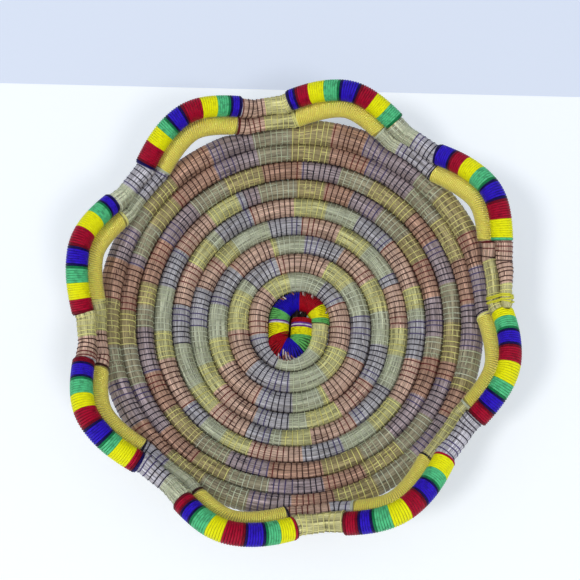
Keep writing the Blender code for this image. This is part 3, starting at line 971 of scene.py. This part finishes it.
def needle_bundle():
    """The bundle of needles: one long tube, drawn in a little at each stitch and flat on the floor."""
    total = PATH.lengths[-1]
    lengths = np.linspace(0, total, int(total / RING_SPACING) + 1)
    turns = PATH.turn(lengths)
    radii = shown_radius(turns)
    for _, count, first, last in SECTIONS:
        inside = (lengths >= first) & (lengths <= last)
        phase = (lengths[inside] - first) / (last - first) * count - CINCH_PLACE
        radii[inside] -= CINCH * (0.5 + 0.5 * np.cos(2 * math.pi * phase)) ** 2
    radii[-len(TIP_SHAPE):] *= TIP_SHAPE
    places = bundle_rings(lengths, radii, BUNDLE_SIDES, shown_shift(turns), NEEDLE_RIDGES)
    places[:, 2] = np.maximum(places[:, 2], 0.0)
    # The layout's way round places the painted groove shade; on a free side it stops short of it.
    around = np.tile(np.abs(np.arange(BUNDLE_SIDES) / BUNDLE_SIDES - 0.5) * LAYOUT_ROUND, len(lengths))
    free = np.repeat((turns > NATURAL_TURNS + 1) | (PATH.bulge(turns) > FREE_BULGE), BUNDLE_SIDES)
    around = np.where(free, np.minimum(around, FREE_LAYOUT_SHARE * around + FREE_LAYOUT_START), around)
    layout = np.stack([np.repeat(lengths, BUNDLE_SIDES), around], axis=1)
    between = (lengths[1:] + lengths[:-1]) / 2
    lot = np.searchsorted(NEW_NEEDLES_FROM, PATH.turn(between)) * len(COLOUR_ORDER)
    tints = np.repeat(colour_at(between) + lot, BUNDLE_SIDES)
    faces = grid_faces(len(lengths), BUNDLE_SIDES)
    piece = mesh_object("needle_bundle", places, faces, tints, layout, NEEDLE_MATERIALS)
    close_ends(piece, BUNDLE_SIDES)
    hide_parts("needle_coil")
    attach(piece, "root")


def stitch_advance(share):
    """How far a stitch has come along: slanting up from the groove, level over the top, fast underneath."""
    top = np.clip(share / 0.5, 0, 1)
    under = np.clip((share - 0.5) / 0.5, 0, 1)
    slant = EARLY_SLANT * (1 - (1 - top) ** 3) + (1 - EARLY_SLANT) * top
    return TOP_SHARE * slant + (1 - TOP_SHARE) * (3 * under ** 2 - 2 * under ** 3)


def thread_on_needles(turns, angles, rise, thread, sides=STITCH_SIDES):
    """A thread laid round the bundle as it is shown, its middle a rise above the needles."""
    return thread_round_bundle(turns, angles, shown_radius(turns) + rise, thread, sides, shown_shift(turns))


def carried_strands(colour, count, first, last):
    """Thread carried along the top of the bundle under the stitches, in short lengths between them."""
    pitch = (last - first) / count
    steps = np.linspace(0, 1, CARRIED_POINTS)
    for place in CARRIED_PLACES:
        begin = random.uniform(0, CARRIED_FIRST_GAP)
        while begin < count - CARRIED_LEAST:
            finish = min(count - CARRIED_END_MARGIN, begin + random.uniform(*CARRIED_LENGTHS))
            if random.random() < CARRIED_SHARE[colour]:
                turns = PATH.turn(first + pitch * (begin + (finish - begin) * steps))
                slant = random.uniform(-CARRIED_SLANT, CARRIED_SLANT)
                wander = random.uniform(-CARRIED_WANDER, CARRIED_WANDER)
                angles = inward_angle(turns) - math.pi / 2 + place + wander + slant * steps
                yield thread_on_needles(turns, angles, -CARRIED_SINK, CARRIED_THREAD, CARRIED_SIDES)
            begin = finish + random.uniform(*CARRIED_GAPS)


def end_loops():
    """A few turns of the stitching thread round the bundle where each gold whipping starts and ends."""
    share = np.linspace(0, LOOP_ROUNDS, LOOP_POINTS)
    angles = -math.pi / 2 - 2 * math.pi * share
    for arch, colours in enumerate(GOLD_ENDS):
        for turn, way, colour in zip(whipping_turns(NATURAL_TURNS, arch, GOLD_SPANS), (-1, 1), colours):
            turns = PATH.turn(PATH.length(turn) + way * (LOOP_GAP + LOOP_PITCH * share))
            yield thread_on_needles(turns, angles, LOOP_RISE, LOOP_THREAD), colour


def stitching():
    """The variegated thread: each stitch goes up the inner groove, over the top, and back under."""
    strands = Strands()
    half = STITCH_POINTS // 2
    mean = np.ones(STITCH_POINTS) / STITCH_POINTS
    for colour, count, first, last in SECTIONS:
        pitch = (last - first) / count
        share = np.arange(count * STITCH_POINTS + 1) / STITCH_POINTS
        whole = np.floor(share)
        wander = [random.uniform(-STITCH_WANDER, STITCH_WANDER) for _ in range(count)] + [0.0]
        wander = np.pad(np.repeat(wander, STITCH_POINTS)[: len(share)], half, mode="edge")
        wander = np.convolve(wander, mean, mode="same")[half: half + len(share)]
        turns = PATH.turn(first + pitch * (whole + stitch_advance(share - whole) + wander))
        angles = inward_angle(turns) - 2 * math.pi * share
        stitches = thread_on_needles(turns, angles, -STITCH_SINK, STITCH_THREADS[colour])
        order = np.arange(count)[:: random.choice((-1, 1))]
        bright = order < random.uniform(0, 2 * BRIGHT_SHARE[colour]) * count
        dull = COLOUR_ORDER.index(colour)
        tints = dull + len(COLOUR_ORDER) * np.repeat(bright, STITCH_POINTS * STITCH_SIDES)
        strands.take(above_floor(stitches), tints)
        for strand in carried_strands(colour, count, first, last):
            strands.take(strand, dull)
    for loop, colour in end_loops():
        strands.take(loop, list(STITCH_COLOURS).index(colour))
    piece = strands.piece("stitching_thread", STITCH_MATERIALS)
    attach(piece, "root")


def rim_core(turns):
    return np.full(len(turns), RIM_BUNDLE / 2 + FIT_GAP)


def start_core(turns):
    """Radius that the start's thread is wound on: fuller on the bar than round the hairpin."""
    share = np.clip((turns - BAR_ENDS[0]) / (BAR_ENDS[1] - BAR_ENDS[0]), 0, 1)
    tip = np.clip((turns + START_TURNS) / START_TIP_GROWTH, 0, 1) ** 0.5
    return START_BUNDLE / 2 + FIT_GAP + (BAR_SWELL + (HAIRPIN_SWELL - BAR_SWELL) * share) * tip


def bar_shift(turns):
    """How far the bar's winding stands off the left side of the hairpin."""
    return np.interp(turns, BAR_ENDS, (BAR_STANDS_OFF, 0.0))


def start_text():
    """The start's bands as a text of colours and lengths along the bundle, in tenths of a millimetre."""
    words, before = [], 0.0
    for colour, turn in START_BANDS:
        length = PATH.length(turn)
        words.append(f"{colour}{max(1, round((length - before) * 10000))}")
        before = length
    return " ".join(words)


def round_colours(text, rounds):
    """The colour letter of each round of a winding, its bands in the text's proportions."""
    letters, counts = zip(*read_sections(text))
    ends = np.round(np.cumsum(counts) / sum(counts) * rounds)
    places = np.searchsorted(ends, np.arange(rounds), side="right")
    return [letters[min(place, len(letters) - 1)] for place in places]


def round_materials(colours, palette):
    """Material numbers of a winding's rounds, darker beside another colour, and of the gaps' painted shade.
    """
    per_colour = len(palette[colours[0]])
    rounds = []
    for i, colour in enumerate(colours):
        near = set(colours[max(i - 1, 0): i + 2])
        edge = len(near) > 1 or i in (0, len(colours) - 1)
        darker = edge and EVEN_COLOUR not in near and per_colour > 2
        rounds.append(list(palette).index(colour) * per_colour + darker)
    painted_gap_shades = [list(palette).index(colour) * per_colour + per_colour - 1 for colour in colours]
    return rounds, painted_gap_shades


def winding(name, span, core, thread, pitch, text, palette, lean=NO_LEAN, crowding=1.0):
    """Thread wound closely round the bundle over a span of turns. Its colour changes underneath."""
    start, end = (PATH.length(turn) for turn in span)
    run = end - start - thread
    rounds = max(2, round(run / pitch))
    share = np.linspace(0, 1, rounds * WINDING_POINTS + 1)
    angles = -math.pi / 2 - 2 * math.pi * rounds * share
    lengths = start + thread / 2 + run * share
    turns = PATH.turn(lengths + np.interp(PATH.turn(lengths), *lean) * np.cos(angles))
    reach = core(turns) + (PATH.bulge(turns) + thread) / 2
    shift = PATH.bulge(turns) / 2 + bar_shift(turns)
    wound = thread_round_bundle(turns, angles, reach, thread, WINDING_SIDES, shift, pitch / thread * crowding)
    tints, painted_gap_shades = round_materials(round_colours(text, rounds), palette)
    strands = Strands()
    strands.take(above_floor(wound), np.repeat(tints, WINDING_POINTS * WINDING_SIDES))
    # The sleeve under the rounds carries the painted shade of the gaps between them.
    ring = start + (end - start) * np.arange(rounds + 1) / rounds
    turns = PATH.turn(ring)
    reach = core(turns) + (PATH.bulge(turns) + thread) / 2
    sleeve = bundle_rings(ring, reach, SLEEVE_SIDES, PATH.bulge(turns) / 2 + bar_shift(turns))
    sleeve = (sleeve, grid_faces(rounds + 1, SLEEVE_SIDES), ring_layout(ring, SLEEVE_SIDES))
    strands.take(above_floor(sleeve), np.repeat(painted_gap_shades, SLEEVE_SIDES))
    return strands.piece(name, sum(palette.values(), []))


def windings():
    for i in range(ARCH_COUNT):
        gold = winding(f"gold_winding_{i + 1}", whipping_turns(NATURAL_TURNS, i, GOLD_SPANS), rim_core,
                       GOLD_THREAD, GOLD_PITCH, "o1", GOLD_PALETTE, GOLD_LEAN, GOLD_CROWDING)
        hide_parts(f"gold_whipping_{i + 1}")
        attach(gold, "root")
        band = winding(f"band_winding_{i + 1}", whipping_turns(NATURAL_TURNS + 1, i, BAND_SPANS), rim_core,
                       BAND_THREAD, BAND_PITCH, ARCH_BANDS[i], BAND_PALETTE)
        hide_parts(f"band_whipping_{i + 1}")
        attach(band, "root")
    start = winding("start_winding", (-START_TURNS, START_ENDS), start_core,
                    START_THREAD, START_WINDING_PITCH, start_text(), KNOT_PALETTE, START_LEANS)
    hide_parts("start_whipping")
    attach(start, "root")


def slivers():
    """Bits of pale needle between the threads, on the outside of the start's bends."""
    strands = Strands()
    share = np.linspace(-0.5, 0.5, SLIVER_POINTS)
    for i, (turn, degrees, length) in enumerate(SLIVERS):
        turns = PATH.turn(PATH.length(turn) + SLIVER_WIDTH * SLIVER_SLANT * share)
        angles = math.radians(degrees) + share * length / SLIVER_BEND
        bulge = PATH.bulge(turns)
        reach = start_core(turns) + bulge / 2 + START_THREAD * SLIVER_RISE
        sliver = thread_round_bundle(turns, angles, reach, SLIVER_WIDTH, NEEDLE_END_SIDES, bulge / 2)
        sliver[2][:] += (i * SLIVER_LAYOUT[0], SLIVER_LAYOUT[1])
        strands.take(sliver, i % len(SLIVER_MATERIALS))
    piece = strands.piece("needle_slivers", SLIVER_MATERIALS)
    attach(piece, "root")


def needle_ends():
    """The cut ends of the needles at the coil's start, fanned out in the hole the hairpin leaves, dark partly
    as painted shade.
    """
    middle, ahead, side, up = (vectors[0] for vectors in PATH.at(np.array([-START_TURNS])))
    count = len(NEEDLE_END_RADII)
    strands = Strands()
    for i in range(NEEDLE_END_COUNT):
        angle = random.uniform(0, 2 * math.pi)
        reach = NEEDLE_END_SPREAD * math.sqrt(random.random())
        foot = middle + reach * (math.cos(angle) * side + math.sin(angle) * up) + NEEDLE_END_ROOT * ahead
        lean = random.uniform(-NEEDLE_END_LEAN, NEEDLE_END_LEAN) * side
        direction = unit(lean + random.uniform(*NEEDLE_END_RISE) * up - ahead)
        line = np.linspace(foot, foot + direction * random.uniform(*NEEDLE_END_LENGTHS), count)
        line[:, 2] = np.maximum(line[:, 2], NEEDLE_END_RADII[0])
        across = unit(np.cross(direction, up))
        steps = np.linspace(0, NEEDLE_END_LAYOUT[0], count) + i * NEEDLE_END_LAYOUT[1]
        other = np.cross(direction, across)
        strands.take(tube(line, across, other, NEEDLE_END_RADII, NEEDLE_END_SIDES, steps), 0)
    for i in range(SLOT_NEEDLES):
        x = BAR_OFFSET - START_PITCH / 2 + random.uniform(-SLOT_SPREAD, SLOT_SPREAD)
        points = [(x, y, random.uniform(*SLOT_HEIGHTS)) for y in np.linspace(*SLOT_ENDS, count)]
        steps = np.linspace(0, SLOT_LAYOUT[0], count) + i * SLOT_LAYOUT[1]
        line = np.array(points) + AXIS
        strands.take(tube(line, (1, 0, 0), (0, 0, 1), SLOT_NEEDLE_RADIUS, NEEDLE_END_SIDES, steps), 0)
    piece = strands.piece("needle_ends", [CUT_NEEDLES_AND_SHADE])
    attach(piece, "root")


def end_tie():
    """Yellow thread laid round the coil's thin end and the row below, with one strand crossing back over."""
    turn = LAST_TURN + (TIE_LATER - TIE_BEFORE_END) / FULL_TURN
    rows = np.array((turn, turn - 1))
    middle, ahead, side, up = PATH.at(rows, shown_shift(rows))
    radii = shown_radius(rows) + TIE_THREAD * TIE_CLOSENESS
    along = ahead[0]
    between = square_to(middle[0] - middle[1], along)
    across = np.cross(along, between)
    angles = np.linspace(0, 2 * math.pi, TIE_ROUND_STEPS)
    normals = np.cos(angles)[:, None] * between + np.sin(angles)[:, None] * across
    row = np.argmax(middle @ normals.T + radii[:, None], axis=0)
    strands = Strands()
    for begin, finish in TIE_LOOPS:
        drift = begin + (finish - begin) * angles / (2 * math.pi) + TIE_SKEW * np.cos(angles)
        points = middle[row] + radii[row][:, None] * normals + along * drift[:, None]
        steps = running_length(points)
        even = np.linspace(0, steps[-1], TIE_POINTS)
        line = in_between(even, steps, points)
        run = unit(np.gradient(line, axis=0))
        sideways = square_to(along, run)
        loop = tube(line, np.cross(sideways, run), sideways, TIE_THREAD * TIE_THINNING, TIE_SIDES, even)
        strands.take(loop, 0)
    piece = strands.piece("end_tie_thread", [TIE_MATERIAL])
    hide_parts("end_tie")
    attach(piece, "root")


def stage():
    """A plain pale floor with a slightly greyer sheet behind."""
    ends = (-STAGE_REACH, STAGE_REACH)
    near, far = ([(x, y) for x in ends] for y in ends)
    edge = [(x, AXIS[1] + BACK_EDGE + BACK_SLOPE * (x - AXIS[0])) for x in ends]
    sheets = (("floor", near, edge, FLOOR_COLOUR), ("backdrop", edge, far, BACKDROP_COLOUR))
    for name, low, high, colour in sheets:
        mesh = bpy.data.meshes.new(name)
        mesh.from_pydata([(*point, 0) for point in (low[0], low[1], high[1], high[0])], [], [(0, 1, 2, 3)])
        piece = placed(name, mesh)
        piece.location.z = -STAGE_DROP
        material, tree, shader = node_tree(name + "_paper")
        rays = add(tree, "ShaderNodeLightPath", {})
        fill(tree, shader, {
            "Base Color": linear(colour),
            "Roughness": PAPER_ROUGHNESS,
            "Specular IOR Level": PAPER_GLOSS,
            "Emission Color": PALE_GLOW,
            "Emission Strength": maths(tree, "MULTIPLY", rays.outputs["Is Camera Ray"], CAMERA_PALENESS),
        })
        mesh.materials.append(material)
        piece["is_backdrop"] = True


def camera():
    """The photograph's view, nearly from above."""
    tilt, yaw, roll = map(math.radians, CAMERA_TILT_YAW_ROLL)
    ahead = Vector((math.sin(tilt) * math.sin(yaw), math.sin(tilt) * math.cos(yaw), -math.cos(tilt)))
    level = Vector((math.cos(yaw), -math.sin(yaw), 0))
    above = level.cross(ahead)
    right = level * math.cos(roll) + above * math.sin(roll)
    up = right.cross(ahead)
    data = bpy.data.cameras.new("camera")
    data.sensor_width = SENSOR_WIDTH
    data.lens = SENSOR_WIDTH * FOCAL_PIXELS / PHOTO_PIXELS
    data.clip_start, data.clip_end = CAMERA_RANGE
    piece = placed("camera", data)
    turn = Matrix((right, up, -ahead)).transposed()
    piece.matrix_world = Matrix.Translation(Vector(CAMERA_PLACE) + Vector(AXIS)) @ turn.to_4x4()
    bpy.context.scene.camera = piece


def lights():
    """A dim bluish world, and two soft boxes above the front, on the left and on the right."""
    world = bpy.data.worlds.new("studio")
    world.use_nodes = True
    background = world.node_tree.nodes["Background"]
    background.inputs["Color"].default_value = WORLD_COLOUR
    background.inputs["Strength"].default_value = WORLD_STRENGTH
    bpy.context.scene.world = world
    for name, place, size, power in LAMPS:
        data = bpy.data.lights.new(name, "AREA")
        data.shape = "DISK"
        data.size = size
        data.energy = power
        data.color = LAMP_COLOUR
        piece = placed(name, data)
        piece.location = place
        piece.rotation_euler = (-Vector(place)).to_track_quat("-Z", "Y").to_euler()


needle_bundle()
stitching()
windings()
slivers()
needle_ends()
end_tie()
stage()
camera()
lights()
bpy.context.scene.view_settings.view_transform = "Standard"

boxes = [[list(corner) for corner in box] for box in (CAD_BOX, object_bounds())]
